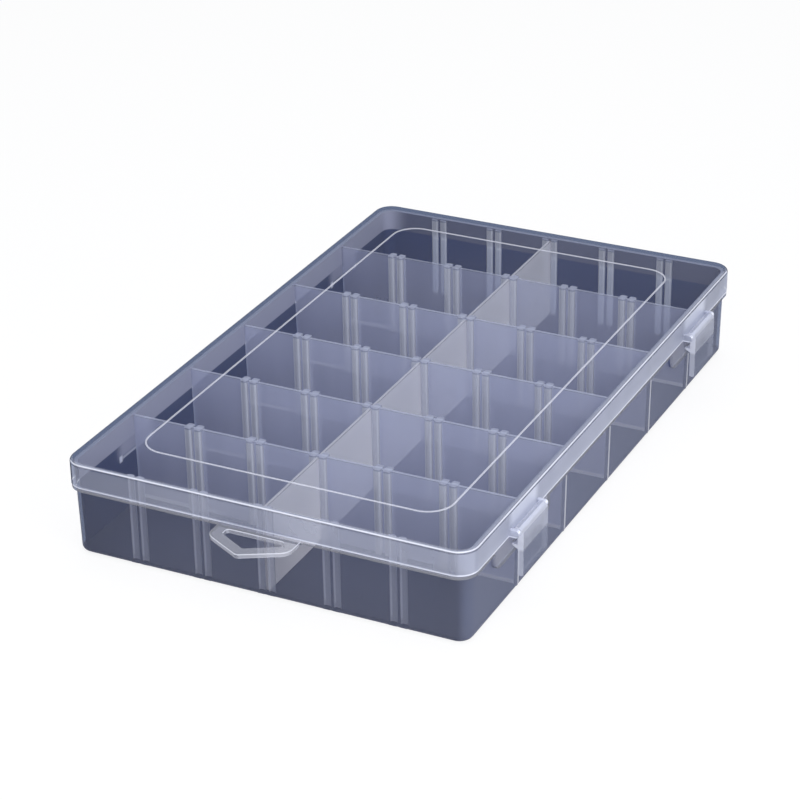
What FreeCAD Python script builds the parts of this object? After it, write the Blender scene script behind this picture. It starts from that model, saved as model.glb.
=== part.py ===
import FreeCAD, Part
import math
import os
import re
import Sketcher

# Divider storage case: a shallow clear tray with fixed cross walls and slotted ribs, a skirted lid that
# hinges on the left, two swinging latches on the right and one loose divider in each row.
# The frame: +X towards the latches, -Y towards the hang tab, +Z up, origin at the centre of the tray's base.
# Lengths are millimetres.

SIZES = [
    ("lid_length", 275, "outside length of the lid"),
    ("lid_width", 170, "outside width of the lid"),
    ("case_height", 40, "height of the closed case"),
    ("skirt_depth", 10.6, "height of the lid's side skirt"),
    ("lid_wall", 1.3, "thickness of the skirt"),
    ("lid_plate", 1.4, "thickness of the lid's top"),
    ("lid_corner_radius", 8, "outside corner radius of the lid in plan"),
    ("lid_edge_radius", 1.6, "rounding of the lid's top edge"),
    ("lid_fit_gap", 0.3, "side gap between skirt and tray"),
    ("rim_gap", 0.3, "gap between the tray's rim and the lid's top plate"),
    ("bead_inset", 20, "lid edge to the bead line on its top"),
    ("bead_corner_radius", 11, "corner radius of the bead line"),
    ("bead_width", 0.9, "width of the bead"),
    ("bead_height", 0.4, "height of the bead"),
    ("tray_wall", 1.4, "thickness of the tray's outer walls"),
    ("tray_floor", 1.5, "thickness of the tray's floor"),
    ("tray_draft", 0.8, "how far each wall leans out from floor to rim"),
    ("tray_edge_radius", 2.2, "rounding of the tray's bottom edge"),
    ("flange_thick", 1.4, "thickness of the flange under the skirt"),
    ("flange_gap", 0.2, "gap between skirt and flange"),
    ("flange_setback", 0.2, "how far the flange stays inside the skirt's face"),
    ("cross_wall", 1.2, "thickness of the fixed cross walls"),
    ("cross_wall_drop", 0.5, "how far the cross walls stop below the rim"),
    ("rib_width", 3.0, "width of one slot rib"),
    ("rib_depth", 1.6, "how far a slot rib stands off its wall"),
    ("rib_rounding", 0.8, "corner rounding of a slot rib"),
    ("rib_rise", 0.3, "how far the ribs stand above the cross walls"),
    ("divider_thick", 1.0, "thickness of a loose divider"),
    ("divider_side_gap", 0.1, "gap between a divider and each rib of its slot"),
    ("divider_end_gap", 0.2, "gap between a divider's ends and the walls"),
    ("divider_foot_gap", 0.2, "gap between a divider and the floor"),
    ("divider_drop", 0.8, "how far a divider stops below the rim"),
    ("divider_rounding", 1.0, "rounding of a divider's corners"),
    ("fastener_inset", 47.5, "lid's end to the middle of the nearest hinge and latch"),
    ("hinge_axis_out", 1.2, "hinge axis to the lid's side face"),
    ("hinge_axis_drop", 3.0, "hinge axis below the skirt"),
    ("hinge_barrel_radius", 1.9, "radius of the hinge barrel"),
    ("hinge_pin_radius", 1.0, "radius of the hinge pins"),
    ("pin_clearance", 0.08, "radial play of every pin in its hole"),
    ("flat_left", 0.1, "how much less than a full half round every rounded end is"),
    ("tongue_length", 25, "length of a hinge tongue"),
    ("tongue_rise", 2.2, "how far a tongue reaches up the skirt"),
    ("ear_thick", 1.6, "thickness of a hinge ear"),
    ("ear_gap", 0.3, "side gap between tongue and ear"),
    ("ear_margin", 1.1, "wall of an ear around its hole"),
    ("ear_foot", 5.2, "how far an ear's gusset runs down the wall below the axis"),
    ("hinge_cutout", 46, "length of the break in the flange at a hinge"),
    ("pad_length", 50, "length of a catch pad"),
    ("pad_height", 8.8, "height of a catch pad"),
    ("pad_corner_radius", 4.5, "lower corner radius of a catch pad"),
    ("catch_length", 20, "length of the catch on a pad"),
    ("catch_out", 1.2, "how far a catch stands off its pad"),
    ("catch_height", 1.8, "height of a catch"),
    ("catch_drop", 3.6, "underside of a catch below the skirt"),
    ("latch_axis_out", 2.5, "latch axis to the lid's side face"),
    ("latch_axis_drop", 9.1, "latch axis below the lid's top"),
    ("latch_length", 23, "length of a latch"),
    ("latch_head_radius", 1.9, "radius of a latch's rounded head"),
    ("latch_ridge", 0.6, "latch axis to the ridge of its hood"),
    ("latch_ridge_radius", 1.2, "rounding of the hood's ridge"),
    ("latch_slope", 1.7, "drop of the hood from its ridge to its shoulder"),
    ("latch_shoulder", 2.0, "rounding of the latch's outer shoulder"),
    ("clip_mouth", 1.3, "opening through which a latch snaps onto its pin"),
    ("latch_face_out", 2.4, "latch axis to the outer face of its flap"),
    ("latch_flap_thick", 2.5, "thickness of the flap"),
    ("latch_reach", 18.4, "latch axis to the bottom of its flap"),
    ("latch_tip_radius", 0.9, "rounding of the flap's lower edge"),
    ("latch_edge_radius", 0.35, "rounding of the latch's ends"),
    ("hook_length", 2.2, "how far the hook stands off the flap"),
    ("hook_height", 1.8, "height of the hook at the flap"),
    ("hook_tip", 0.6, "height of the hook's tip"),
    ("hook_gap", 0.2, "gap between hook and catch"),
    ("latch_pin_radius", 0.9, "radius of the latch pins"),
    ("lug_thick", 1.8, "thickness of a latch lug"),
    ("lug_gap", 0.3, "side gap between latch and lug"),
    ("lug_radius", 1.4, "outer radius of a latch lug"),
    ("tab_width", 34.4, "width of the hang tab"),
    ("tab_thick", 1.8, "thickness of the hang tab"),
    ("tab_side", 9.2, "length of the hang tab's straight sides"),
    ("tab_reach", 18.4, "lid's front face to the tip of the hang tab"),
    ("tab_shoulder_radius", 6, "rounding of the hang tab's shoulders"),
    ("tab_tip_radius", 2.5, "rounding of the hang tab's tip"),
    ("tab_edge_radius", 0.4, "rounding of the hang tab's edges"),
    ("tab_root", 3.0, "lid's front face to the hang hole"),
    ("hang_hole_width", 24, "width of the hang hole"),
    ("hang_hole_side", 3.4, "length of the hang hole's straight sides"),
    ("hang_hole_reach", 13.2, "lid's front face to the tip of the hang hole"),
    ("hang_hole_radius", 1.2, "corner rounding of the hang hole"),
]

ROWS = 6
COLUMNS = 6
FASTENER_PAIR = 2

# Places and sizes that follow from the driving ones.
FORMULAS = {
    "lid_half_x": "lid_width / 2",
    "lid_half_y": "lid_length / 2",
    "skirt_z": "case_height - skirt_depth",
    "rim_z": "case_height - lid_plate - rim_gap",
    "tray_inset": "lid_wall + lid_fit_gap",
    "tray_half_x": "lid_half_x - tray_inset",
    "tray_half_y": "lid_half_y - tray_inset",
    "tray_corner": "lid_corner_radius - tray_inset",
    "base_half_x": "tray_half_x - tray_draft",
    "base_half_y": "tray_half_y - tray_draft",
    "cavity_half_x": "tray_half_x - tray_wall",
    "cavity_half_y": "tray_half_y - tray_wall",
    "cavity_corner": "tray_corner - tray_wall",
    "cavity_base_lean": "tray_draft * (1 - tray_floor / rim_z)",
    "embed": "tray_wall / 2",
    "row_pitch": f"2 * cavity_half_y / {ROWS}",
    "slot_pitch": f"2 * cavity_half_x / {COLUMNS}",
    "cross_top": "rim_z - cross_wall_drop",
    "rib_top": "cross_top + rib_rise",
    "groove_half": "divider_thick / 2 + divider_side_gap",
    "flange_z": "skirt_z - flange_gap",
    "flange_half_x": "lid_half_x - flange_setback",
    "flange_half_y": "lid_half_y - flange_setback",
    "flange_corner": "lid_corner_radius - flange_setback",
    "hinge_station": "lid_half_y - fastener_inset",
    "hinge_x": "lid_half_x + hinge_axis_out",
    "hinge_z": "skirt_z - hinge_axis_drop",
    "ear_radius": "hinge_pin_radius + pin_clearance + ear_margin",
    "ear_offset": "tongue_length / 2 + ear_gap",
    "latch_x": "lid_half_x + latch_axis_out",
    "latch_z": "case_height - latch_axis_drop",
    "lug_offset": "latch_length / 2 + lug_gap",
    "catch_z": "skirt_z - catch_drop",
    "hook_top": "catch_z - hook_gap - latch_z",
    "flap_inside": "latch_face_out - latch_flap_thick",
    "tab_z": "flange_z - tab_thick",
    "flange_wall_x": "base_half_x + tray_draft * flange_z / rim_z",
    "wall_core_x": "base_half_x - (tray_wall - tray_draft) / 2",
    "wall_core_y": "base_half_y - (tray_wall - tray_draft) / 2",
}

TOUCH = 0.001
MATHS = ("atan",)
SIZE_NAMES = {name for name, value, note in SIZES}

doc = FreeCAD.newDocument("DividerStorageCase")
sheet = doc.addObject("Spreadsheet::Sheet", "Sizes")
for row_number, (size_name, size_value, size_note) in enumerate(SIZES, start=1):
    sheet.set(f"A{row_number}", size_note)
    sheet.set(f"B{row_number}", str(size_value))
    sheet.setAlias(f"B{row_number}", size_name)
doc.recompute()


def sized(text):
    """Write a formula over size names as an expression on the sheet."""
    def spell(match):
        word = match.group()
        if word in FORMULAS:
            return f"({sized(FORMULAS[word])})"
        if word in SIZE_NAMES:
            return f"Sizes.{word}"
        if word in MATHS:
            return word
        raise ValueError(f"no size is named {word}")
    return re.sub(r"[a-z]+(?:_[a-z]+)*", spell, text)


def value_of(text):
    """The present value of a formula."""
    return float(sheet.evalExpression(sized(text)))


def new_body(label):
    body = doc.addObject("PartDesign::Body", label)
    body.Label = label
    return body


def origin_part(body, role):
    return next(item for item in body.Origin.OriginFeatures if item.Role == role)


def new_sketch(body, plane, name, offset="0"):
    """A sketch on one of the body's own planes, moved along that plane's normal."""
    sketch = body.newObject("Sketcher::SketchObject", name)
    sketch.AttachmentSupport = (origin_part(body, plane), [""])
    sketch.MapMode = "FlatFace"
    if offset != "0":
        sketch.setExpression("AttachmentOffset.Base.z", sized(offset))
    return sketch


def bind_constraint(sketch, constraint, formula):
    index = sketch.addConstraint(constraint)
    sketch.setExpression(f"Constraints[{index}]", sized(formula))


def place_point(sketch, geometry, vertex, x_text, y_text):
    """Tie a point of the sketch to its two formulas, measured from the sketch's origin."""
    for kind, text, axis in (("DistanceX", x_text, -2), ("DistanceY", y_text, -1)):
        value = value_of(text)
        if text == "0":
            sketch.addConstraint(Sketcher.Constraint("PointOnObject", geometry, vertex, axis))
        elif value > 0:
            bind_constraint(sketch, Sketcher.Constraint(kind, -1, 1, geometry, vertex, value), text)
        else:
            bind_constraint(sketch, Sketcher.Constraint(kind, geometry, vertex, -1, 1, -value), f"-({text})")


def round_corner(here, back, ahead, radius):
    """Where a corner's rounding starts, ends and has its centre, and whether the outline turns left there."""
    half_angle = back.getAngle(ahead) / 2
    reach = radius / math.tan(half_angle)
    bisector = (back + ahead).normalize()
    centre = here + bisector * (radius / math.sin(half_angle))
    return here + back * reach, here + ahead * reach, centre, back.cross(ahead).z < 0


def add_arc(sketch, centre, radius, first, last):
    start = math.atan2(first.y - centre.y, first.x - centre.x)
    end = math.atan2(last.y - centre.y, last.x - centre.x)
    if end < start:
        end += 2 * math.pi
    circle = Part.Circle(centre, FreeCAD.Vector(0, 0, 1), radius)
    return sketch.addGeometry(Part.ArcOfCircle(circle, start, end))


def outline(sketch, corners):
    """A closed outline, anticlockwise, through corners given as formulas: x, y and rounding or None."""
    points = [FreeCAD.Vector(value_of(x), value_of(y), 0) for x, y, rounding in corners]
    count = len(corners)
    bends = []
    for i, (x, y, rounding) in enumerate(corners):
        here = points[i]
        back = (points[i - 1] - here).normalize()
        ahead = (points[(i + 1) % count] - here).normalize()
        if rounding is None:
            bends.append((here, here, None, None))
        else:
            bends.append(round_corner(here, back, ahead, value_of(rounding)))
    lines = []
    for i in range(count):
        segment = Part.LineSegment(bends[i][1], bends[(i + 1) % count][0])
        lines.append(sketch.addGeometry(segment))
    for i, (x, y, rounding) in enumerate(corners):
        before, after = lines[i - 1], lines[i]
        if rounding is None:
            sketch.addConstraint(Sketcher.Constraint("Coincident", before, 2, after, 1))
            place_point(sketch, after, 1, x, y)
            continue
        arrive, leave, centre, turns_left = bends[i]
        first, last = (arrive, leave) if turns_left else (leave, arrive)
        arc = add_arc(sketch, centre, value_of(rounding), first, last)
        arrive_end, leave_end = (1, 2) if turns_left else (2, 1)
        sketch.addConstraint(Sketcher.Constraint("Tangent", before, 2, arc, arrive_end))
        sketch.addConstraint(Sketcher.Constraint("Tangent", arc, leave_end, after, 1))
        bind_constraint(sketch, Sketcher.Constraint("Radius", arc, value_of(rounding)), rounding)
        corner = sketch.addGeometry(Part.Point(points[i]), True)
        sketch.addConstraint(Sketcher.Constraint("PointOnObject", corner, 1, before))
        sketch.addConstraint(Sketcher.Constraint("PointOnObject", corner, 1, after))
        place_point(sketch, corner, 1, x, y)


def rectangle(sketch, left, right, bottom, top, rounding=None):
    outline(sketch, [
        (left, bottom, rounding),
        (right, bottom, rounding),
        (right, top, rounding),
        (left, top, rounding),
    ])


def centred_rectangle(sketch, half_x, half_y, rounding):
    rectangle(sketch, f"-({half_x})", half_x, f"-({half_y})", half_y, rounding)


def circle(sketch, x, y, radius):
    centre = FreeCAD.Vector(value_of(x), value_of(y), 0)
    up = FreeCAD.Vector(0, 0, 1)
    geometry = sketch.addGeometry(Part.Circle(centre, up, value_of(radius)))
    bind_constraint(sketch, Sketcher.Constraint("Radius", geometry, value_of(radius)), radius)
    place_point(sketch, geometry, 3, x, y)


def extrude(body, kind, sketch, name, length, side="One side"):
    """A Pad or Pocket of a sketch. A Pad goes along the sketch's normal, a Pocket against it."""
    feature = body.newObject(f"PartDesign::{kind}", name)
    feature.Profile = sketch
    feature.SideType = side
    feature.setExpression("Length", sized(length))
    return feature


def loft(body, kind, name, first, second):
    feature = body.newObject(f"PartDesign::{kind}", name)
    feature.Profile = first
    feature.Sections = [second]
    feature.Ruled = True
    return feature


def repeat(body, features, name, axis, length, count, second=None):
    """A row of copies along an axis, or a grid with a second (axis, length, count)."""
    pattern = body.newObject("PartDesign::LinearPattern", name)
    pattern.Originals = features
    pattern.Direction = (origin_part(body, axis), [""])
    pattern.setExpression("Length", sized(length))
    pattern.Occurrences = count
    if second is not None:
        axis, length, count = second
        pattern.Direction2 = (origin_part(body, axis), [""])
        pattern.setExpression("Length2", sized(length))
        pattern.Occurrences2 = count
    body.Tip = pattern
    return pattern


def round_edges(body, base, name, radius, is_wanted):
    """Round the edges of a feature that a test on their bounding boxes picks."""
    doc.recompute()
    picked = [f"Edge{i}" for i, edge in enumerate(base.Shape.Edges, start=1) if is_wanted(edge.BoundBox)]
    feature = body.newObject("PartDesign::Fillet", name)
    feature.Base = (base, picked)
    feature.setExpression("Radius", sized(radius))
    return feature


def lies_at(low, high, place):
    return abs(low - place) < TOUCH and abs(high - place) < TOUCH


def fastener_pair(body, features, name):
    """Copy what stands at the front hinge or latch to the rear one."""
    return repeat(body, features, name, "Y_Axis", "2 * hinge_station", FASTENER_PAIR)


def twin_plates(body, features, name, span):
    """Copy one plate of a hinge or latch to its other end, and both to the rear one."""
    second = ("Y_Axis", span, FASTENER_PAIR)
    return repeat(body, features, name, "Y_Axis", "2 * hinge_station", FASTENER_PAIR, second)


def tray_shell(body):
    """A block with the rim's outline, its sides leaning in towards the floor."""
    plan = new_sketch(body, "XY_Plane", "TrayPlan")
    centred_rectangle(plan, "tray_half_x", "tray_half_y", "tray_corner")
    block = extrude(body, "Pad", plan, "TrayBlock", "rim_z")
    doc.recompute()
    rim = value_of("rim_z")
    named_faces = [(f"Face{i}", face.BoundBox) for i, face in enumerate(block.Shape.Faces, start=1)]
    walls = body.newObject("PartDesign::Draft", "TrayWalls")
    walls.Base = (block, [name for name, box in named_faces if box.ZLength > rim / 2])
    walls.NeutralPlane = (block, [name for name, box in named_faces if lies_at(box.ZMin, box.ZMax, rim)])
    walls.Reversed = True
    walls.setExpression("Angle", sized("atan(tray_draft / rim_z)"))
    round_edges(body, walls, "TrayBottomEdge", "tray_edge_radius", lambda box: lies_at(box.ZMin, box.ZMax, 0))


def tray_flange(body):
    plan = new_sketch(body, "XY_Plane", "FlangeOutline", "flange_z - flange_thick")
    centred_rectangle(plan, "flange_half_x", "flange_half_y", "flange_corner")
    extrude(body, "Pad", plan, "Flange", "flange_thick")
    notch = new_sketch(body, "XY_Plane", "HingeCutoutOutline", "flange_z")
    rectangle(
        notch,
        "-(lid_half_x)",
        "-(flange_wall_x)",
        "-(hinge_station + hinge_cutout / 2)",
        "-(hinge_station - hinge_cutout / 2)",
    )
    cutout = extrude(body, "Pocket", notch, "HingeCutout", "flange_thick")
    fastener_pair(body, [cutout], "HingeCutouts")


def tray_hinge_ears(body):
    profile = new_sketch(body, "XZ_Plane", "EarOutline", "hinge_station + ear_offset")
    outline(profile, [
        ("-(wall_core_x)", "hinge_z + ear_radius", None),
        ("-(hinge_x + ear_radius)", "hinge_z + ear_radius", "ear_radius - flat_left"),
        ("-(hinge_x + ear_radius)", "hinge_z - ear_radius / 3", "ear_radius / 2"),
        ("-(wall_core_x)", "hinge_z - ear_foot", None),
    ])
    circle(profile, "-(hinge_x)", "hinge_z", "hinge_pin_radius + pin_clearance")
    ear = extrude(body, "Pad", profile, "HingeEar", "ear_thick")
    twin_plates(body, [ear], "HingeEars", "2 * ear_offset + ear_thick")


def tray_catches(body):
    face = new_sketch(body, "YZ_Plane", "PadOutline", "wall_core_x")
    front = "-(hinge_station + pad_length / 2)"
    back = "-(hinge_station - pad_length / 2)"
    outline(face, [
        (front, "flange_z - pad_height", "pad_corner_radius"),
        (back, "flange_z - pad_height", "pad_corner_radius"),
        (back, "flange_z", None),
        (front, "flange_z", None),
    ])
    raised_pad = extrude(body, "Pad", face, "CatchPad", "flange_half_x - wall_core_x")
    profile = new_sketch(body, "XZ_Plane", "CatchOutline", "hinge_station")
    outline(profile, [
        ("flange_half_x - embed", "catch_z", None),
        ("flange_half_x + catch_out", "catch_z", None),
        ("flange_half_x + catch_out", "catch_z + catch_height / 2", None),
        ("flange_half_x - embed", "catch_z + catch_height", None),
    ])
    catch = extrude(body, "Pad", profile, "Catch", "catch_length", "Symmetric")
    fastener_pair(body, [raised_pad, catch], "Catches")


def tray_hang_tab(body):
    plan = new_sketch(body, "XY_Plane", "HangTabOutline", "tab_z")
    tip = "-(lid_half_y + tab_reach)"
    shoulder = "-(lid_half_y + tab_side)"
    outline(plan, [
        ("tab_width / 2", "-(wall_core_y)", None),
        ("-(tab_width / 2)", "-(wall_core_y)", None),
        ("-(tab_width / 2)", shoulder, "tab_shoulder_radius"),
        ("0", tip, "tab_tip_radius"),
        ("tab_width / 2", shoulder, "tab_shoulder_radius"),
    ])
    hole_root = "-(lid_half_y + tab_root)"
    hole_side = "-(lid_half_y + tab_root + hang_hole_side)"
    outline(plan, [
        ("hang_hole_width / 2", hole_root, "hang_hole_radius"),
        ("-(hang_hole_width / 2)", hole_root, "hang_hole_radius"),
        ("-(hang_hole_width / 2)", hole_side, "hang_hole_radius"),
        ("0", "-(lid_half_y + hang_hole_reach)", "hang_hole_radius"),
        ("hang_hole_width / 2", hole_side, "hang_hole_radius"),
    ])
    tab = extrude(body, "Pad", plan, "HangTab", "tab_thick")
    levels = (value_of("tab_z"), value_of("flange_z"))
    flange_front = -value_of("flange_half_y")

    def is_tab_edge(box):
        on_face = any(lies_at(box.ZMin, box.ZMax, level) for level in levels)
        return on_face and box.YMax < flange_front + TOUCH and box.YMin < flange_front - TOUCH

    round_edges(body, tab, "HangTabEdges", "tab_edge_radius", is_tab_edge)


def tray_cavity(body):
    floor = new_sketch(body, "XY_Plane", "CavityFloor", "tray_floor")
    lean = "cavity_base_lean"
    centred_rectangle(floor, f"cavity_half_x - {lean}", f"cavity_half_y - {lean}", f"cavity_corner - {lean}")
    mouth = new_sketch(body, "XY_Plane", "CavityMouth", "rim_z")
    centred_rectangle(mouth, "cavity_half_x", "cavity_half_y", "cavity_corner")
    loft(body, "SubtractiveLoft", "Cavity", floor, mouth)


def tray_cross_walls(body):
    first_wall = f"-({ROWS // 2 - 1} * row_pitch)"
    plan = new_sketch(body, "XY_Plane", "CrossWallPlan", "tray_floor / 2")
    rectangle(
        plan,
        "-(wall_core_x)",
        "wall_core_x",
        f"{first_wall} - cross_wall / 2",
        f"{first_wall} + cross_wall / 2",
    )
    wall = extrude(body, "Pad", plan, "CrossWall", "cross_top - tray_floor / 2")
    repeat(body, [wall], "CrossWalls", "Y_Axis", f"{ROWS - 2} * row_pitch", ROWS - 1)


def tray_ribs(body):
    first_wall = f"-({ROWS // 2 - 1} * row_pitch)"
    first_slot = f"-({COLUMNS // 2 - 1} * slot_pitch)"
    sides = [
        (f"{first_slot} - groove_half - rib_width", f"{first_slot} - groove_half"),
        (f"{first_slot} + groove_half", f"{first_slot} + groove_half + rib_width"),
    ]
    plan = new_sketch(body, "XY_Plane", "RibPlan", "tray_floor / 2")
    end_plan = new_sketch(body, "XY_Plane", "EndRibPlan", "tray_floor / 2")
    off_wall = "cross_wall / 2 + rib_depth"
    inner_end = "cavity_half_y - rib_depth"
    front, back = f"{first_wall} - ({off_wall})", f"{first_wall} + {off_wall}"
    for left, right in sides:
        rectangle(plan, left, right, front, back, "rib_rounding")
        outline(end_plan, [
            (left, "-(wall_core_y)", None),
            (right, "-(wall_core_y)", None),
            (right, f"-({inner_end})", "rib_rounding"),
            (left, f"-({inner_end})", "rib_rounding"),
        ])
        outline(end_plan, [
            (left, inner_end, "rib_rounding"),
            (right, inner_end, "rib_rounding"),
            (right, "wall_core_y", None),
            (left, "wall_core_y", None),
        ])
    height = "rib_top - tray_floor / 2"
    slots = ("X_Axis", f"{COLUMNS - 2} * slot_pitch", COLUMNS - 1)
    ribs = extrude(body, "Pad", plan, "RibPair", height)
    repeat(body, [ribs], "RibPairs", *slots, ("Y_Axis", f"{ROWS - 2} * row_pitch", ROWS - 1))
    end_ribs = extrude(body, "Pad", end_plan, "EndRibPair", height)
    repeat(body, [end_ribs], "EndRibPairs", *slots)


def make_tray():
    body = new_body("tray")
    tray_shell(body)
    tray_flange(body)
    tray_hinge_ears(body)
    tray_catches(body)
    tray_hang_tab(body)
    tray_cavity(body)
    tray_cross_walls(body)
    tray_ribs(body)
    return body


def lid_shell(body):
    plan = new_sketch(body, "XY_Plane", "LidPlan", "skirt_z")
    centred_rectangle(plan, "lid_half_x", "lid_half_y", "lid_corner_radius")
    block = extrude(body, "Pad", plan, "LidBlock", "skirt_depth")
    top = value_of("case_height")
    round_edges(body, block, "LidTopEdge", "lid_edge_radius", lambda box: lies_at(box.ZMin, box.ZMax, top))
    inside = new_sketch(body, "XY_Plane", "LidInside", "case_height - lid_plate")
    wall = "lid_wall"
    centred_rectangle(inside, f"lid_half_x - {wall}", f"lid_half_y - {wall}", f"lid_corner_radius - {wall}")
    extrude(body, "Pocket", inside, "LidHollow", "skirt_depth - lid_plate")


def lid_bead(body):
    """A low raised line that runs round the lid's top."""
    ring = new_sketch(body, "XY_Plane", "BeadPlan", "case_height - lid_plate / 2")
    for step in ("0", "bead_width"):
        half_x = f"lid_half_x - bead_inset - {step}"
        half_y = f"lid_half_y - bead_inset - {step}"
        centred_rectangle(ring, half_x, half_y, f"bead_corner_radius - {step}")
    bead = extrude(body, "Pad", ring, "Bead", "lid_plate / 2 + bead_height")
    top = value_of("case_height + bead_height")
    round_edges(body, bead, "BeadTop", "bead_height / 2", lambda box: lies_at(box.ZMin, box.ZMax, top))


def lid_hinge_tongues(body):
    profile = new_sketch(body, "XZ_Plane", "TongueOutline", "hinge_station")
    outer = "-(hinge_x + hinge_barrel_radius)"
    inner = "-(hinge_x - hinge_barrel_radius)"
    outline(profile, [
        ("-(lid_half_x - lid_wall / 2)", "skirt_z + tongue_rise", None),
        (outer, "skirt_z + tongue_rise", "hinge_barrel_radius"),
        (outer, "hinge_z - hinge_barrel_radius", "hinge_barrel_radius - flat_left"),
        (inner, "hinge_z - hinge_barrel_radius", "hinge_barrel_radius - flat_left"),
        (inner, "skirt_z + lid_wall / 2", None),
        ("-(lid_half_x - lid_wall / 2)", "skirt_z + lid_wall / 2", None),
    ])
    tongue = extrude(body, "Pad", profile, "HingeTongue", "tongue_length", "Symmetric")
    pin_end = new_sketch(body, "XZ_Plane", "HingePinEnd", "hinge_station")
    circle(pin_end, "-(hinge_x)", "hinge_z", "hinge_pin_radius")
    pin = extrude(body, "Pad", pin_end, "HingePin", "2 * (ear_offset + ear_thick)", "Symmetric")
    fastener_pair(body, [tongue, pin], "Hinges")


def lid_latch_lugs(body):
    profile = new_sketch(body, "XZ_Plane", "LugOutline", "hinge_station + lug_offset")
    outline(profile, [
        ("lid_half_x - lid_wall / 2", "latch_z - lug_radius", None),
        ("latch_x + lug_radius", "latch_z - lug_radius", "lug_radius - flat_left"),
        ("latch_x + lug_radius", "latch_z + lug_radius", "lug_radius - flat_left"),
        ("lid_half_x - lid_wall / 2", "latch_z + lug_radius", None),
    ])
    lug = extrude(body, "Pad", profile, "LatchLug", "lug_thick")
    twin_plates(body, [lug], "LatchLugs", "2 * lug_offset + lug_thick")
    pin_end = new_sketch(body, "XZ_Plane", "LatchPinEnd", "hinge_station")
    circle(pin_end, "latch_x", "latch_z", "latch_pin_radius")
    pin = extrude(body, "Pad", pin_end, "LatchPin", "2 * (lug_offset + lug_thick)", "Symmetric")
    fastener_pair(body, [pin], "LatchPins")


def make_lid():
    body = new_body("lid")
    lid_shell(body)
    lid_bead(body)
    lid_hinge_tongues(body)
    lid_latch_lugs(body)
    return body


def make_latch(label, station):
    """A latch, drawn about its own pivot axis and placed on its lid pin."""
    body = new_body(label)
    profile = new_sketch(body, "XZ_Plane", "LatchOutline")
    head = "latch_head_radius"
    hook_x = "flap_inside - hook_length"
    outline(profile, [
        ("flap_inside", "-(latch_reach)", "latch_tip_radius"),
        ("latch_face_out", "-(latch_reach)", "latch_tip_radius"),
        ("latch_face_out", f"{head} - latch_slope", "latch_shoulder"),
        ("latch_ridge", head, "latch_ridge_radius"),
        (f"-({head})", head, f"{head} - flat_left"),
        (f"-({head})", f"-({head})", f"{head} / 2"),
        ("flap_inside", f"-({head})", None),
        ("flap_inside", "hook_top", None),
        (hook_x, "hook_top", None),
        (hook_x, "hook_top - hook_tip", None),
        ("flap_inside", "hook_top - hook_height", None),
    ])
    circle(profile, "0", "0", "latch_pin_radius + pin_clearance")
    plate = extrude(body, "Pad", profile, "LatchPlate", "latch_length", "Symmetric")
    half_length = value_of("latch_length / 2")
    hole_height = 2 * value_of("latch_pin_radius + pin_clearance")

    def is_end_edge(box):
        at_end = lies_at(box.YMin, box.YMax, half_length) or lies_at(box.YMin, box.YMax, -half_length)
        is_hole = abs(box.ZLength - hole_height) < TOUCH and abs(box.XLength - hole_height) < TOUCH
        return at_end and not is_hole

    round_edges(body, plate, "LatchEnds", "latch_edge_radius", is_end_edge)
    mouth = new_sketch(body, "XZ_Plane", "ClipMouthOutline")
    rectangle(mouth, f"-(2 * {head})", "0", "-(clip_mouth / 2)", "clip_mouth / 2")
    extrude(body, "Pocket", mouth, "ClipMouth", "2 * latch_length", "Symmetric")
    body.setExpression("Placement.Base.x", sized("latch_x"))
    body.setExpression("Placement.Base.y", sized(station))
    body.setExpression("Placement.Base.z", sized("latch_z"))
    return body


def make_divider(number):
    """A loose divider in the centre slot of a row, rows counted from the front."""
    body = new_body(f"divider_{number}")
    inner_reach = "row_pitch / 2 - cross_wall / 2 - divider_end_gap"
    wall_reach = "row_pitch / 2 - divider_end_gap"
    front_top = front_foot = f"-({inner_reach})"
    back_top = back_foot = inner_reach
    if number == 1:
        front_top = f"-({wall_reach})"
        front_foot = f"-({wall_reach} - cavity_base_lean)"
    if number == ROWS:
        back_top = wall_reach
        back_foot = f"{wall_reach} - cavity_base_lean"
    foot = "tray_floor + divider_foot_gap"
    top = "rim_z - divider_drop"
    profile = new_sketch(body, "YZ_Plane", "DividerOutline")
    outline(profile, [
        (front_foot, foot, "divider_rounding"),
        (back_foot, foot, "divider_rounding"),
        (back_top, top, "divider_rounding"),
        (front_top, top, "divider_rounding"),
    ])
    extrude(body, "Pad", profile, "DividerPlate", "divider_thick", "Symmetric")
    rows_from_middle = number - (ROWS + 1) / 2
    body.setExpression("Placement.Base.y", sized(f"{rows_from_middle} * row_pitch"))
    return body


def check_and_export(bodies):
    doc.recompute()
    for item in doc.Objects:
        if "Invalid" in item.State or "Error" in item.State:
            raise RuntimeError(f"{item.Label} failed: {item.State}")
    for body in bodies:
        if body.Shape.isNull() or not body.Shape.isValid() or len(body.Shape.Solids) != 1:
            raise RuntimeError(f"{body.Label} is not one valid solid")
    os.makedirs("parts", exist_ok=True)
    for body in bodies:
        body.Shape.exportStep(os.path.join("parts", f"{body.Label}.step"))
        box = body.Shape.optimalBoundingBox(False)
        extent = f"{box.XLength:.2f} x {box.YLength:.2f} x {box.ZLength:.2f} mm"
        print(body.Label, extent, f"{body.Shape.Volume:.0f} mm3")


part_bodies = [make_tray(), make_lid()]
part_bodies.append(make_latch("latch_front", "-(hinge_station)"))
part_bodies.append(make_latch("latch_rear", "hinge_station"))
part_bodies.extend(make_divider(number) for number in range(1, ROWS + 1))
check_and_export(part_bodies)
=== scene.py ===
"""Divider storage case: hazy clear plastic, photographed on white from the front right and above."""
import math
from types import SimpleNamespace

import bpy
from mathutils import Matrix, Vector


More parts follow.
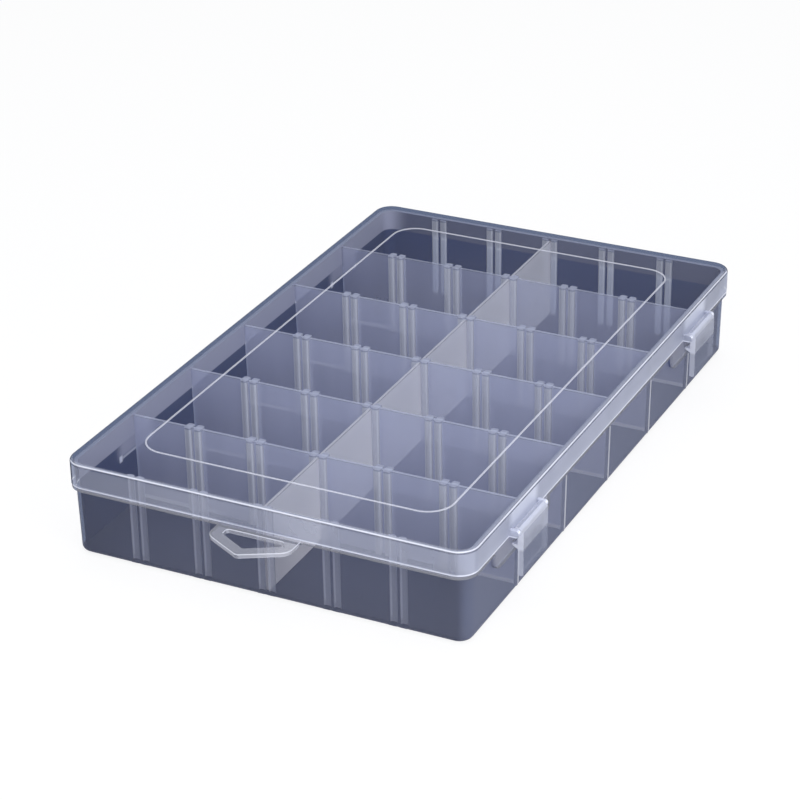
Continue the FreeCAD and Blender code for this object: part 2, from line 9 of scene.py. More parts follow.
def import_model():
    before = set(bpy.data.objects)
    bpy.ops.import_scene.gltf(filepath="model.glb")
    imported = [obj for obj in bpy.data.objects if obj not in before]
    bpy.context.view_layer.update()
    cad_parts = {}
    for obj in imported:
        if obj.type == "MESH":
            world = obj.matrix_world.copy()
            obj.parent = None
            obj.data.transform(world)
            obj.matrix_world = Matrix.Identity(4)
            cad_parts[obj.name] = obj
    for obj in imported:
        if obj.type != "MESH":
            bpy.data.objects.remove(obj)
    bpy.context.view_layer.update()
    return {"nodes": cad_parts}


MM = 0.001

# The camera, as an orbit about a point near the middle of the case.
AZIMUTH = math.radians(26.40)
ELEVATION = math.radians(26.98)
ROLL = math.radians(-0.975)
DISTANCE = 1.0842
AIM_RIGHT = -8.8 * MM
AIM_UP = -0.2 * MM
SENSOR = 36.0
LENS = 118.9

# The studio. A lamp has a name, a place, a size and a power, and looks at the middle of the base.
LAMPS = (
    ("top_softbox", (-0.2, 0.25, 1.3), (1.2, 1.2), 9.5),
    ("front_softbox", (0.30, -1.0, 0.45), (0.7, 0.5), 3.4),
    ("right_softbox", (0.62, -0.42, 0.60), (0.45, 0.45), 3.2),
)
WORLD_LIGHT = (0.95, 0.97, 1.0)
WORLD_STRENGTH = 0.55
STAGE_SIZE = 8.0
STAGE_DROP = 0.2 * MM
STAGE_PAPER = (0.86, 0.86, 0.87)
STAGE_GLOW_SHARE = 0.8
WHITE = (1.0, 1.0, 1.0)
WHITE_RAYS = ("Is Camera Ray", "Is Glossy Ray", "Is Transmission Ray")
CLEAR_LAYERS = 64

# Heights and places in the case, in metres, that the materials tell its regions by.
FLOOR_TOP = 1.5 * MM
CROSS_TOP = 37.8 * MM
DIVIDER_TOP = 37.5 * MM
ROW_PITCH = 269.0 / 6 * MM
CROSS_HALF = 0.6 * MM
CAVITY_X = 81.2 * MM
CAVITY_Y = 133.7 * MM
CAVITY_CORNER = 5.0 * MM
WALL_LEAN = 0.8 / 38.3
WALL_REACH = 2.2 * MM
SKIRT_FOOT = 29.4 * MM
LID_TOP = 40.0 * MM
PLATE_FOOT = 38.6 * MM
LID_FACE_X = 85.0 * MM
LATCH_HOOK = 23.8 * MM
FASTENER_Y = 90.0 * MM
HINGE_Z = 26.4 * MM
HINGE_HALF = 14.0 * MM
HINGE_END = 11.5 * MM
HINGE_GLINT_Z = HINGE_Z - 2.8 * MM
TAB_ROOT = -137.5 * MM

# Colours, linear.
CLEAR = (1.0, 1.0, 1.0)
WALL_HAZE = (0.445, 0.468, 0.645)
RIB_HAZE = (0.58, 0.59, 0.66)
PANEL_HAZE = (0.161, 0.170, 0.217)
SIDE_PANEL_HAZE = (0.290, 0.318, 0.445)
DIVIDER_HAZE = (0.81, 0.80, 0.86)
# Divider colours: painted shade on the top edge where the top lamp falls, and painted light at the foot.
DIVIDER_TOP_SHADE = (0.40, 0.40, 0.45)
DIVIDER_FOOT_LIGHT = (0.94, 0.92, 0.94)
LID_HAZE = (0.57, 0.60, 0.73)
PLATE_HAZE = (0.285, 0.300, 0.365)
LATCH_HAZE = (0.46, 0.48, 0.57)
# Painted highlight on rounded edges, the lid's bead line and skirt foot, the latch ends and the hinge glints.
PAINTED_HIGHLIGHT = (0.84, 0.86, 0.97)
# Painted shade: dark navy on the tray's inner faces and floor stands in for the dark surroundings seen
# through clear plastic, and NAVY_BAND is paler where the lid's skirt lies behind.
NAVY = (0.025, 0.043, 0.135)
FLOOR_NAVY = (0.023, 0.032, 0.080)
NAVY_BAND = (0.088, 0.098, 0.170)
HINGE_BAND = (0.36, 0.37, 0.49)
RIM_HAZE = (0.22, 0.24, 0.33)
# Painted shade on the cross walls' top edges, where the top lamp falls.
CROSS_TOP_SHADE = (0.34, 0.36, 0.47)
TINT = (0.90, 0.92, 0.96)
PLATE_TINT = (0.96, 0.98, 1.00)
# Painted shade: the tint of what is seen through the dark faces, and of the painted dark outline where
# rounded edges turn away.
NAVY_TINT = (0.10, 0.13, 0.22)
LAMP_TINT = (0.96, 0.96, 0.98)

# Every plastic's skin.
PLASTIC_IOR = 1.49
SPECULAR_LEVEL = 0.25
RELIEF_STRENGTH = 0.08
RELIEF_DEPTH = 0.2 * MM
ROUGHNESS_SPREAD = 0.08
TRAY_ROUGHNESS = 0.37
LID_ROUGHNESS = 0.2
LATCH_ROUGHNESS = 0.37
DIVIDER_ROUGHNESS = 0.40
LAMP_SHARE = 0.75
SLANT_BLEND = 0.5

# Limits: where a region starts and where it is reached in full. They are lengths, parts of a normal, or both
# multiplied for faces that look inwards. TURNED_AWAY is how far a face is seen at a slant.
ROUNDED_NORMAL = (0.985, 0.90)
TURNED_AWAY = (0.62, 0.76)
SIDEWAYS_NORMAL = (0.2, 0.9)
WALL_LIMITS = (CAVITY_CORNER - 0.10 * MM, CAVITY_CORNER - 0.06 * MM)
TRIM_LIMITS = (CAVITY_CORNER + WALL_REACH + 0.1 * MM, CAVITY_CORNER + WALL_REACH + 0.3 * MM)
TRAY_INWARDS = (-0.005, -0.02)
RIM_NORMAL = (0.7, 0.9)
FLOOR_NORMAL = (0.5, 0.8)
FLOOR_LIMITS = (FLOOR_TOP + 0.6 * MM, FLOOR_TOP + 0.2 * MM)
UNDERSIDE_LIMITS = (FLOOR_TOP, FLOOR_TOP - 0.3 * MM)
RIB_LIMITS = (CROSS_HALF, CROSS_HALF + 0.2 * MM)
CROSS_EDGE_LIMITS = (CROSS_TOP - 0.5 * MM, CROSS_TOP - 0.2 * MM)
WALL_END_LIMITS = (0.75 * MM, 0.60 * MM)
SHORT_OF_ENDS = (130.0 * MM, 125.0 * MM)
FOOT_LIMITS = (FLOOR_TOP + 2.2 * MM, FLOOR_TOP + 1.2 * MM)
FOOT_REACH = (30.0 * MM, 70.0 * MM)
TAB_LIMITS = (TAB_ROOT + 0.1 * MM, TAB_ROOT - 0.1 * MM)
TAB_EDGE_NORMAL = (0.15, 0.35)
ABOVE_FLOOR = (FLOOR_TOP + 1.0 * MM, FLOOR_TOP + 3.0 * MM)
CROSS_HEIGHT = (FLOOR_TOP, CROSS_TOP)
TRAY_BACK_TO_FRONT = (115.0 * MM, 20.0 * MM)
TRAY_LEFT_TO_RIGHT = (-80.0 * MM, 60.0 * MM)
BAND_LIMITS = (SKIRT_FOOT - 0.4 * MM, SKIRT_FOOT + 0.4 * MM)
LEFT_WALL = (-80.0 * MM, -81.0 * MM)
LEFT_BAND = (-70.0 * MM, -81.0 * MM)
TONGUE_LENGTH = (HINGE_HALF + 2.0 * MM, HINGE_HALF - 5.0 * MM)
TONGUE_HEIGHT = (HINGE_Z - 4.0 * MM, HINGE_Z - 1.0 * MM)
# Painted glints along the hinge seen through the left wall.
PIN_GLINT_HEIGHT = (0.7 * MM, 0.3 * MM)
PIN_GLINT_LENGTH = (13.0 * MM, 11.5 * MM)
GLINT_HEIGHT = (1.8 * MM, 0.8 * MM)
GLINT_LENGTH = (1.6 * MM, 0.6 * MM)
SKIRT_LIMITS = (PLATE_FOOT - 0.1 * MM, PLATE_FOOT - 0.3 * MM)
SKIRT_FOOT_LIMITS = (SKIRT_FOOT + 0.7 * MM, SKIRT_FOOT + 0.4 * MM)
BEAD_LIMITS = (LID_TOP + 0.02 * MM, LID_TOP + 0.10 * MM)
LID_TRIM_LIMITS = (LID_FACE_X + 0.02 * MM, LID_FACE_X + 0.1 * MM)
LID_EDGE_START, LID_EDGE_END = (0.06, 0.20), (0.985, 0.93)
LID_LINE_START, LID_LINE_END = (0.25, 0.45), (0.80, 0.60)
LID_INWARDS = (-0.002, -0.01)
MOUND_LENGTH = (15.0 * MM, 9.0 * MM)
MOUND_FACE = (LID_FACE_X - 0.8 * MM, LID_FACE_X)
LID_LEFT_TO_RIGHT = (-85.0 * MM, 20.0 * MM)
LATCH_HOOD_LIMITS = (LATCH_HOOK - 1.0 * MM, LATCH_HOOK + 0.5 * MM)
LATCH_END_NORMAL = (0.80, 0.95)
LATCH_OUTWARDS = (-0.30, 0.10)
DIVIDER_EDGE_LIMITS = (DIVIDER_TOP - 0.6 * MM, DIVIDER_TOP - 0.2 * MM)
DIVIDER_HEIGHT = (FLOOR_TOP, DIVIDER_TOP)

# Haze: the share of what lies behind that a place hides, or a factor on that share. The tongue, band and the
# painted hinge glints have a share of a paler colour instead. A pair is what it is at the start and at the
# end of what it varies with, such as a height or a noise, and a slant's pair is the least factor and the most
# that is added.
CROSS_SHARES = (0.48, 0.62)
# Painted light: factors that make the tray hazier, so paler, towards the front and the right, where the lamps
# fall.
BACK_FRONT_FACTORS = (0.68, 1.09)
LEFT_RIGHT_FACTORS = (0.94, 1.12)
TRAY_STREAK_FACTORS = (0.85, 1.15)
TRAY_CLOUD_FACTORS = (0.90, 1.10)
RIB_SHARE = 0.55
PANEL_SHARES = (0.262, 0.284)
PANEL_SLANT = (0.96, 0.55)
WALL_END_SHARE = 0.30
FOOT_SHARE = 0.85
TRIM_SHARES = (0.26, 0.36)
# TAB_EDGE_SHARES, BARE_EDGE_SHARE and RIB_EDGE_SHARE are shares of painted highlight on rounded edges.
TAB_EDGE_SHARES = (0.12, 0.40)
BARE_EDGE_SHARE = 0.16
RIB_EDGE_SHARE = 0.14
DARK_SHARE = 0.97
TONGUE_FACTORS = (0.3, 1.2)
LEFT_BAND_SHARE = 0.95
PIN_GLINT_SHARE = 0.40
GLINT_SHARE = 0.8
PLATE_SKIRT_SHARES = (0.10, 0.36)
LID_TRIM_SHARE = 0.50
MOUND_SHARE = 0.30
# Painted light: factors that make the lid hazier, so paler, towards the right, and most on its sideways faces
# there.
LID_LEFT_FACTOR = 0.72
LID_RIGHT_FACTORS = (1.0, 1.10)
LID_CLOUD_FACTORS = (0.85, 1.15)
LID_STREAK_FACTORS = (0.90, 1.10)
LID_SLANT = (0.75, 0.8)
# Painted highlights on the lid's top edges, fillet lines, skirt foot, bead line and rounded corners;
# LID_OUTLINE_SHARE thins the haze on the painted dark outline.
LID_EDGE_SHARE = 0.3
SKIRT_FOOT_SHARE = 0.6
BEAD_SHARE = 0.7
LID_CORNER_SHARE = 0.2
LID_LIT_SHARE = 0.62
LID_OUTLINE_SHARE = 0.8
LATCH_SHARES = (0.10, 0.42)
LATCH_CLOUD_FACTORS = (0.70, 1.30)
# Painted highlights on the latch's roundings and ends.
LATCH_EDGE_SHARE = 0.20
LATCH_END_SHARE = 0.36
LATCH_SHOWN_BEHIND = 0.4
# Painted light: the dividers are hazier, so paler, at the foot.
DIVIDER_SHARES = (0.90, 0.74)
DIVIDER_CLOUD_SHARE = 0.10

# Noise: how fine it is, and for streaks how it is stretched.
NOISE_DETAIL = 3.0
TRAY_CLOUDS = 35.0
TRAY_STREAKS = (90.0, (1.0, 1.0, 0.12))
LID_CLOUDS = 30.0
LID_STREAKS = (70.0, (0.3, 1.0, 0.3))
LATCH_CLOUDS = 120.0
DIVIDER_CLOUDS = 40.0

# The mix node's sockets for each kind of value: share, first, second and result.
MIX_SOCKETS = {"FLOAT": (0, 2, 3, 0), "RGBA": (0, 6, 7, 2)}


class Shader:
    """The node tree of a material or of the world, built one node at a time."""

    def __init__(self, owner):
        owner.use_nodes = True
        self.owner = owner
        self.tree = owner.node_tree
        self.tree.nodes.clear()

    def put(self, socket, value):
        if isinstance(value, bpy.types.NodeSocket):
            self.tree.links.new(value, socket)
        elif socket.type == "RGBA":
            socket.default_value = (*value, 1.0)
        else:
            socket.default_value = value

    def add(self, kind, inputs=None, **settings):
        node = self.tree.nodes.new(kind)
        for name, value in settings.items():
            setattr(node, name, value)
        for name, value in (inputs or {}).items():
            self.put(node.inputs[name], value)
        return node

    def math(self, operation, *values):
        node = self.add("ShaderNodeMath", operation=operation)
        for socket, value in zip(node.inputs, values):
            self.put(socket, value)
        return node.outputs[0]

    def times(self, first, *others):
        for other in others:
            first = self.math("MULTIPLY", first, other)
        return first

    def largest(self, first, *others):
        for other in others:
            first = self.math("MAXIMUM", first, other)
        return first

    def without(self, first, second):
        return self.times(first, self.math("SUBTRACT", 1.0, second))

    def size(self, value):
        return self.math("ABSOLUTE", value)

    def distance(self, value, middle):
        """How far a value is from middle, either way."""
        return self.size(self.math("SUBTRACT", value, middle))

    def ramp(self, value, limits):
        """0 at the first limit and before it, 1 at the second and after it, smooth between."""
        start, end = limits
        at_low, at_high = (0.0, 1.0) if start < end else (1.0, 0.0)
        node = self.add("ShaderNodeMapRange", {
            "Value": value,
            "From Min": min(limits),
            "From Max": max(limits),
            "To Min": at_low,
            "To Max": at_high,
        }, interpolation_type="SMOOTHSTEP")
        return node.outputs[0]

    def mix(self, kind, share, first, second):
        node = self.add("ShaderNodeMix", data_type=kind)
        *sockets, result = MIX_SOCKETS[kind]
        for number, value in zip(sockets, (share, first, second)):
            self.put(node.inputs[number], value)
        return node.outputs[result]

    def blend(self, share, first, second):
        """A number that goes from first to second as share goes from 0 to 1."""
        return self.mix("FLOAT", share, first, second)

    def blend_colour(self, share, first, second):
        return self.mix("RGBA", share, first, second)

    def place(self):
        """The object's own coordinates, and the x, y and z of a point and of its normal."""
        coordinates = self.add("ShaderNodeTexCoord")
        point = self.add("ShaderNodeSeparateXYZ", {"Vector": coordinates.outputs["Object"]})
        normal = self.add("ShaderNodeSeparateXYZ", {"Vector": coordinates.outputs["Normal"]})
        return coordinates.outputs["Object"], point.outputs, normal.outputs

    def outwards(self, x, y, normal):
        """Above 0 where a face looks away from the case's middle, and below 0 where it looks towards it."""
        return self.math("ADD", self.times(x, normal[0]), self.times(y, normal[1]))

    def sideways(self, normal):
        """1 on faces that look left or right, 0 on the others."""
        return self.ramp(self.size(normal[0]), SIDEWAYS_NORMAL)

    def rounding(self, normal):
        """1 on fillets and rounded corners, 0 on faces square to the case."""
        parts = [self.size(part) for part in normal]
        return self.ramp(self.largest(*parts), ROUNDED_NORMAL)

    def facing(self):
        """0 where a face looks at the viewer, up to 1 where it is seen at a slant."""
        return self.add("ShaderNodeLayerWeight", {"Blend": SLANT_BLEND}).outputs["Facing"]

    def slanted(self, haze, least, gain):
        """Haze that thickens where the plastic is seen at a slant, as the path through it grows."""
        return self.times(haze, self.math("MULTIPLY_ADD", self.facing(), gain, least))

    def outline(self, normal):
        """1 where a rounded edge turns away, the mask for a painted dark outline like the one clear plastic
        shows there.
        """
        return self.times(self.rounding(normal), self.ramp(self.facing(), TURNED_AWAY))

    def noise(self, place, scale, stretch=(1.0, 1.0, 1.0)):
        mapping = self.add("ShaderNodeMapping", {"Vector": place, "Scale": stretch})
        texture = self.add("ShaderNodeTexNoise", {
            "Vector": mapping.outputs["Vector"],
            "Scale": scale,
            "Detail": NOISE_DETAIL,
        })
        return texture.outputs["Fac"]

    def plastic(self, haze, colour, tint, roughness, bump, shown_behind=0.0, tint_behind=CLEAR):
        """Clear plastic that hides what is behind it by its haze and tints the rest. The back of a face,
        where its normal is turned round, has only the share shown_behind of the haze, and its own tint.
        Lamps shine through."""
        relief = self.add("ShaderNodeBump", {
            "Height": bump,
            "Strength": RELIEF_STRENGTH,
            "Distance": RELIEF_DEPTH,
        })
        skin = self.add("ShaderNodeBsdfPrincipled", {
            "Base Color": colour,
            "Roughness": self.blend(bump, roughness - ROUGHNESS_SPREAD, roughness + ROUGHNESS_SPREAD),
            "IOR": PLASTIC_IOR,
            "Specular IOR Level": SPECULAR_LEVEL,
            "Normal": relief.outputs["Normal"],
        })
        behind = self.add("ShaderNodeNewGeometry").outputs["Backfacing"]
        haze = self.without(haze, self.without(behind, shown_behind))
        passed = self.blend_colour(behind, tint, tint_behind)
        through = self.add("ShaderNodeBsdfTransparent", {"Color": passed})
        seen = self.add("ShaderNodeMixShader", {0: haze, 1: through.outputs[0], 2: skin.outputs[0]})
        open_way = self.add("ShaderNodeBsdfTransparent", {"Color": LAMP_TINT})
        path = self.add("ShaderNodeLightPath")
        share = self.times(path.outputs["Is Shadow Ray"], LAMP_SHARE)
        surface = self.add("ShaderNodeMixShader", {0: share, 1: seen.outputs[0], 2: open_way.outputs[0]})
        self.add("ShaderNodeOutputMaterial", {"Surface": surface.outputs[0]})
        return self.owner


def new_material(name):
    return Shader(bpy.data.materials.new(name))


def tray_regions(shader):
    """Shares from 0 to 1 that tell the tray's regions apart, with the measures that its looks vary by."""
    place, (x, y, z), normal = shader.place()
    side_x, side_y = shader.size(x), shader.size(y)
    over_x = shader.math("SUBTRACT", side_x, CAVITY_X - CAVITY_CORNER)
    over_y = shader.math("SUBTRACT", side_y, CAVITY_Y - CAVITY_CORNER)
    squares = [shader.math("POWER", shader.math("MAXIMUM", over, 0.0), 2.0) for over in (over_x, over_y)]
    corner = shader.math("SQRT", shader.math("ADD", *squares))
    spread = shader.largest(corner, over_x, over_y)
    reach = shader.math("SUBTRACT", spread, shader.times(z, WALL_LEAN))
    wall = shader.ramp(reach, WALL_LIMITS)
    trim = shader.ramp(spread, TRIM_LIMITS)
    inside = shader.times(wall, shader.ramp(shader.outwards(x, y, normal), TRAY_INWARDS))
    rim = shader.times(wall, shader.ramp(normal[2], RIM_NORMAL))
    floor = shader.largest(
        shader.times(shader.ramp(normal[2], FLOOR_NORMAL), shader.ramp(z, FLOOR_LIMITS)),
        shader.ramp(z, UNDERSIDE_LIMITS),
    )
    off_cross_wall = shader.math("PINGPONG", side_y, ROW_PITCH / 2)
    rib = shader.without(shader.ramp(off_cross_wall, RIB_LIMITS), shader.largest(wall, floor))
    low = shader.times(shader.ramp(z, FOOT_LIMITS), shader.ramp(side_x, FOOT_REACH))
    on_cross_wall = shader.ramp(off_cross_wall, WALL_END_LIMITS)
    return SimpleNamespace(
        x=x,
        y=y,
        z=z,
        side_y=side_y,
        normal=normal,
        wall=wall,
        trim=trim,
        inside=inside,
        rim=rim,
        floor=floor,
        dark=shader.largest(shader.without(shader.largest(inside, rim), trim), floor),
        rib=rib,
        top=shader.without(shader.ramp(z, CROSS_EDGE_LIMITS), wall),
        wall_end=shader.times(on_cross_wall, shader.ramp(side_y, SHORT_OF_ENDS)),
        foot=shader.without(low, shader.largest(wall, rib, floor)),
        tab=shader.ramp(y, TAB_LIMITS),
        outline=shader.outline(normal),
        streaks=shader.noise(place, *TRAY_STREAKS),
        clouds=shader.noise(place, TRAY_CLOUDS),
    )


def tray_haze(shader, at):
    """The tray's haze, before its painted highlights and painted dark faces."""
    # Painted light: the haze grows towards the front and the right, where the lamps fall.
    painted_light_falloff = shader.times(
        shader.blend(shader.ramp(at.y, TRAY_BACK_TO_FRONT), *BACK_FRONT_FACTORS),
        shader.blend(shader.ramp(at.x, TRAY_LEFT_TO_RIGHT), *LEFT_RIGHT_FACTORS),
    )
    haze = shader.times(painted_light_falloff, shader.blend(shader.ramp(at.z, CROSS_HEIGHT), *CROSS_SHARES))
    haze = shader.blend(at.rib, haze, RIB_SHARE)
    haze = shader.times(
        haze,
        shader.blend(at.streaks, *TRAY_STREAK_FACTORS),
        shader.blend(at.clouds, *TRAY_CLOUD_FACTORS),
    )
    panel = shader.slanted(shader.blend(at.clouds, *PANEL_SHARES), *PANEL_SLANT)
    panel = shader.math("MULTIPLY_ADD", at.wall_end, WALL_END_SHARE, panel)
    haze = shader.blend(at.wall, haze, panel)
    haze = shader.blend(at.foot, haze, FOOT_SHARE)
    return shader.blend(at.trim, haze, shader.blend(at.clouds, *TRIM_SHARES))


def tray_highlights(shader, at):
    """How far the tray's rounded edges carry a painted highlight."""
    turned = shader.rounding(at.normal)
    upward = shader.ramp(shader.size(at.normal[2]), TAB_EDGE_NORMAL)
    tab_edge = shader.times(at.tab, shader.blend(upward, *TAB_EDGE_SHARES))
    bare = shader.without(turned, shader.largest(at.rib, at.wall))
    highlight = shader.largest(
        shader.times(bare, BARE_EDGE_SHARE),
        shader.times(turned, at.rib, RIB_EDGE_SHARE),
        shader.times(turned, tab_edge),
    )
    return shader.without(shader.times(highlight, shader.ramp(at.z, ABOVE_FLOOR)), at.outline)


def tray_depth(shader, at):
    """The colour of the tray's dark faces, painted shade in place of the dark surroundings seen through clear
    plastic: paler behind the skirt and where a hinge shows on the left, with painted glints along the hinge.
    """
    band = shader.ramp(at.z, BAND_LIMITS)
    deep = shader.blend_colour(band, NAVY, NAVY_BAND)
    left_wall = shader.ramp(at.x, LEFT_WALL)
    off_hinge = shader.distance(at.side_y, FASTENER_Y)
    tongue = shader.times(
        shader.ramp(off_hinge, TONGUE_LENGTH),
        left_wall,
        shader.ramp(at.z, TONGUE_HEIGHT),
        shader.blend(at.clouds, *TONGUE_FACTORS),
    )
    left_band = shader.times(band, shader.ramp(at.x, LEFT_BAND), LEFT_BAND_SHARE)
    deep = shader.blend_colour(shader.largest(tongue, left_band), deep, HINGE_BAND)
    # Painted glints: a bright line along the hinge and bright spots near its ends.
    drop = shader.distance(at.z, HINGE_GLINT_Z)
    pin_glint = shader.times(shader.ramp(drop, PIN_GLINT_HEIGHT), shader.ramp(off_hinge, PIN_GLINT_LENGTH))
    from_end = shader.distance(off_hinge, HINGE_END)
    spot = shader.times(shader.ramp(from_end, GLINT_LENGTH), shader.ramp(drop, GLINT_HEIGHT))
    glint = shader.largest(shader.times(pin_glint, PIN_GLINT_SHARE), shader.times(spot, GLINT_SHARE))
    deep = shader.blend_colour(shader.times(glint, left_wall), deep, PAINTED_HIGHLIGHT)
    deep = shader.blend_colour(at.rim, deep, RIM_HAZE)
    return shader.blend_colour(at.floor, deep, FLOOR_NAVY)


def tray_plastic():
    """Hazy cross walls and ribs, thin outer walls, and a floor and inner faces painted dark, as shade in
    place of the dark surroundings seen through clear plastic.
    """
    shader = new_material("tray_plastic")
    at = tray_regions(shader)
    highlight = tray_highlights(shader, at)
    haze = shader.math("ADD", tray_haze(shader, at), highlight)
    haze = shader.blend(at.dark, haze, DARK_SHARE)
    panel = shader.blend_colour(shader.sideways(at.normal), PANEL_HAZE, SIDE_PANEL_HAZE)
    panel = shader.blend_colour(shader.largest(at.trim, at.wall_end), panel, RIB_HAZE)
    colour = shader.blend_colour(shader.largest(at.rib, at.foot), WALL_HAZE, RIB_HAZE)
    colour = shader.blend_colour(at.wall, colour, panel)
    # Painted highlight on the rounded edges.
    colour = shader.blend_colour(highlight, colour, PAINTED_HIGHLIGHT)
    # Painted shade on the cross walls' top edges, where the top lamp falls.
    colour = shader.blend_colour(at.top, colour, CROSS_TOP_SHADE)
    # Painted shade: the dark faces stand in for the dark surroundings seen through clear plastic.
    colour = shader.blend_colour(at.dark, colour, tray_depth(shader, at))
    tint = shader.blend_colour(at.wall, TINT, CLEAR)
    # Painted shade on what is seen through the dark faces, and a painted dark outline where rounded edges
    # turn away.
    tint = shader.blend_colour(shader.largest(at.dark, at.outline), tint, NAVY_TINT)
    flange = shader.without(at.trim, at.tab)
    # Painted shade also on what is seen through the backs of the inner faces, the floor and the flange.
    behind = shader.blend_colour(shader.largest(at.inside, at.floor, flange), CLEAR, NAVY_TINT)
    shown_behind = shader.largest(at.rib, at.floor)
    return shader.plastic(haze, colour, tint, TRAY_ROUGHNESS, at.clouds, shown_behind, behind)


def lid_haze(shader, x, y, normal, skirt, streaks, clouds):
    """The lid's haze, before its painted highlights: thin on the plate, thicker on the skirt and at the
    latches, with painted light towards the right.
    """
    trim = shader.ramp(shader.size(x), LID_TRIM_LIMITS)
    haze = shader.blend(trim, shader.blend(skirt, *PLATE_SKIRT_SHARES), LID_TRIM_SHARE)
    off_latch = shader.distance(shader.size(y), FASTENER_Y)
    mound = shader.times(shader.ramp(off_latch, MOUND_LENGTH), shader.ramp(x, MOUND_FACE), skirt)
    haze = shader.math("MULTIPLY_ADD", mound, MOUND_SHARE, haze)
    # Painted light: hazier towards the right, most on faces there that look sideways.
    right = shader.blend(shader.sideways(normal), *LID_RIGHT_FACTORS)
    haze = shader.times(
        haze,
        shader.blend(shader.ramp(x, LID_LEFT_TO_RIGHT), LID_LEFT_FACTOR, right),
        shader.blend(clouds, *LID_CLOUD_FACTORS),
        shader.blend(streaks, *LID_STREAK_FACTORS),
    )
    return shader.slanted(haze, *LID_SLANT)


def lid_plastic():
    """A clear plate and a hazy skirt, with painted highlights on its top edges, rounded corners, skirt foot
    and bead line, and a painted dark outline where rounded edges turn away.
    """
    shader = new_material("lid_plastic")
    place, (x, y, z), normal = shader.place()
    skirt = shader.ramp(z, SKIRT_LIMITS)
    upward = shader.size(normal[2])
    edge = shader.times(shader.ramp(upward, LID_EDGE_START), shader.ramp(upward, LID_EDGE_END))
    line = shader.times(shader.ramp(upward, LID_LINE_START), shader.ramp(upward, LID_LINE_END))
    corner = shader.without(shader.rounding(normal), edge)
    outline = shader.outline(normal)
    # Painted highlights on the top edge fillets, the skirt foot and the bead line.
    highlight = shader.largest(
        shader.times(edge, LID_EDGE_SHARE),
        line,
        shader.times(shader.ramp(z, SKIRT_FOOT_LIMITS), SKIRT_FOOT_SHARE),
        shader.times(shader.ramp(z, BEAD_LIMITS), BEAD_SHARE),
    )
    highlight = shader.without(highlight, outline)
    clouds = shader.noise(place, LID_CLOUDS)
    streaks = shader.noise(place, *LID_STREAKS)
    haze = lid_haze(shader, x, y, normal, skirt, streaks, clouds)
    # Painted highlight on the rounded corners too.
    shine = shader.math("MULTIPLY_ADD", corner, LID_CORNER_SHARE, highlight)
    haze = shader.math("MULTIPLY_ADD", shine, LID_LIT_SHARE, haze)
    haze = shader.without(haze, shader.times(outline, LID_OUTLINE_SHARE))
    colour = shader.blend_colour(highlight, shader.blend_colour(skirt, PLATE_HAZE, LID_HAZE), PAINTED_HIGHLIGHT)
    tint = shader.blend_colour(outline, shader.blend_colour(skirt, PLATE_TINT, TINT), NAVY_TINT)
    # Painted shade: what is seen through the backs of the lid's inner faces is tinted dark navy.
    inside = shader.ramp(shader.outwards(x, y, normal), LID_INWARDS)
    behind = shader.blend_colour(inside, CLEAR, NAVY_TINT)
    return shader.plastic(haze, colour, tint, LID_ROUGHNESS, clouds, tint_behind=behind)


def latch_plastic():
    """A hazy hood and a clear flap, with painted highlights on its roundings and ends. The rounding next to
    the skirt has no painted dark outline.
    """
    shader = new_material("latch_plastic")
    place, (_, _, z), normal = shader.place()
    clouds = shader.noise(place, LATCH_CLOUDS)
    hood = shader.ramp(z, LATCH_HOOD_LIMITS)
    haze = shader.times(shader.blend(hood, *LATCH_SHARES), shader.blend(clouds, *LATCH_CLOUD_FACTORS))
    outline = shader.times(shader.outline(normal), shader.ramp(normal[0], LATCH_OUTWARDS))
    turned = shader.times(shader.rounding(normal), LATCH_EDGE_SHARE)
    end = shader.times(shader.ramp(shader.size(normal[1]), LATCH_END_NORMAL), LATCH_END_SHARE)
    highlight = shader.without(shader.largest(turned, end), outline)
    haze = shader.math("ADD", haze, highlight)
    colour = shader.blend_colour(highlight, LATCH_HAZE, PAINTED_HIGHLIGHT)
    tint = shader.blend_colour(outline, TINT, NAVY_TINT)
    return shader.plastic(haze, colour, tint, LATCH_ROUGHNESS, clouds, LATCH_SHOWN_BEHIND)


def divider_plastic():
    """Milky all over, paler and hazier at the foot with painted light, a little clearer towards the top, and
    a darker top edge of painted shade.
    """
    shader = new_material("divider_plastic")
    place, (_, _, z), _ = shader.place()
    clouds = shader.noise(place, DIVIDER_CLOUDS)
    height = shader.ramp(z, DIVIDER_HEIGHT)
    haze = shader.math("MULTIPLY_ADD", clouds, DIVIDER_CLOUD_SHARE, shader.blend(height, *DIVIDER_SHARES))
    colour = shader.blend_colour(height, DIVIDER_FOOT_LIGHT, DIVIDER_HAZE)
    colour = shader.blend_colour(shader.ramp(z, DIVIDER_EDGE_LIMITS), colour, DIVIDER_TOP_SHADE)
    return shader.plastic(haze, colour, TINT, DIVIDER_ROUGHNESS, clouds)


def dress(frame):
    """Give every CAD node the plastic of its kind, which is the first word of its name."""
    plastics = {
        "tray": tray_plastic(),
        "lid": lid_plastic(),
        "latch": latch_plastic(),
        "divider": divider_plastic(),
    }
    for node, thing in frame["nodes"].items():
        for slot in thing.material_slots:
            slot.material = plastics[node.split("_")[0]]


def white_rays(shader):
    """1 for the rays that are to find white: the camera's, and those from glossy and clear surfaces."""
    path = shader.add("ShaderNodeLightPath")
    return shader.largest(*[path.outputs[ray] for ray in WHITE_RAYS])


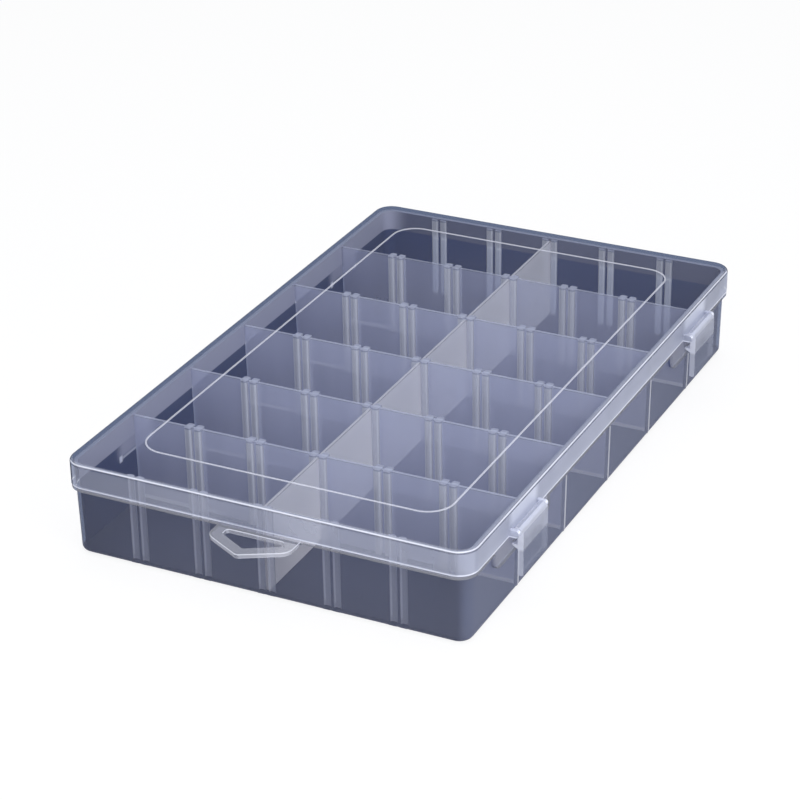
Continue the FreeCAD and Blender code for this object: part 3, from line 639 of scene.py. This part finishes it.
def white_stage():
    """A pale floor that reads white from the camera and keeps the case's soft shadow."""
    bpy.ops.mesh.primitive_plane_add(size=STAGE_SIZE, location=(0, 0, -STAGE_DROP))
    floor = bpy.context.object
    floor.name = "floor"
    shader = new_material("pale_floor")
    paper = shader.add("ShaderNodeBsdfDiffuse", {"Color": STAGE_PAPER})
    glow = shader.add("ShaderNodeEmission", {"Color": WHITE, "Strength": 1.0})
    share = shader.times(white_rays(shader), STAGE_GLOW_SHARE)
    mixed = shader.add("ShaderNodeMixShader", {0: share, 1: paper.outputs[0], 2: glow.outputs[0]})
    shader.add("ShaderNodeOutputMaterial", {"Surface": mixed.outputs[0]})
    floor.data.materials.append(shader.owner)


def white_world():
    """Soft light from all round, behind which the camera sees white."""
    world = bpy.data.worlds.new("studio")
    bpy.context.scene.world = world
    shader = Shader(world)
    soft = shader.add("ShaderNodeBackground", {"Color": WORLD_LIGHT, "Strength": WORLD_STRENGTH})
    white = shader.add("ShaderNodeBackground", {"Color": WHITE, "Strength": 1.0})
    share = white_rays(shader)
    mixed = shader.add("ShaderNodeMixShader", {0: share, 1: soft.outputs[0], 2: white.outputs[0]})
    shader.add("ShaderNodeOutputWorld", {"Surface": mixed.outputs[0]})


def softbox(name, place, size, power):
    lamp = bpy.data.lights.new(name, "AREA")
    lamp.shape = "RECTANGLE"
    lamp.size, lamp.size_y = size
    lamp.energy = power
    thing = bpy.data.objects.new(name, lamp)
    thing.location = place
    thing.rotation_euler = (-Vector(place)).to_track_quat("-Z", "Y").to_euler()
    bpy.context.collection.objects.link(thing)


def camera():
    lens = bpy.data.cameras.new("camera")
    lens.sensor_width = SENSOR
    lens.lens = LENS
    back = Vector((
        math.sin(AZIMUTH) * math.cos(ELEVATION),
        -math.cos(AZIMUTH) * math.cos(ELEVATION),
        math.sin(ELEVATION),
    ))
    right = Vector((math.cos(AZIMUTH), math.sin(AZIMUTH), 0))
    up = back.cross(right)
    aim = Vector((0, 0, LID_TOP / 2)) + right * AIM_RIGHT + up * AIM_UP
    rolled_right = right * math.cos(ROLL) + up * math.sin(ROLL)
    rolled_up = up * math.cos(ROLL) - right * math.sin(ROLL)
    eye = aim + back * DISTANCE
    axes = Matrix((rolled_right, rolled_up, back)).transposed().to_4x4()
    thing = bpy.data.objects.new("camera", lens)
    thing.matrix_world = Matrix.Translation(eye) @ axes
    bpy.context.collection.objects.link(thing)
    bpy.context.scene.camera = thing


def main():
    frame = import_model()
    bpy.context.scene.view_settings.view_transform = "Standard"
    bpy.context.scene.cycles.transparent_max_bounces = CLEAR_LAYERS
    dress(frame)
    white_stage()
    white_world()
    for lamp in LAMPS:
        softbox(*lamp)
    camera()


main()
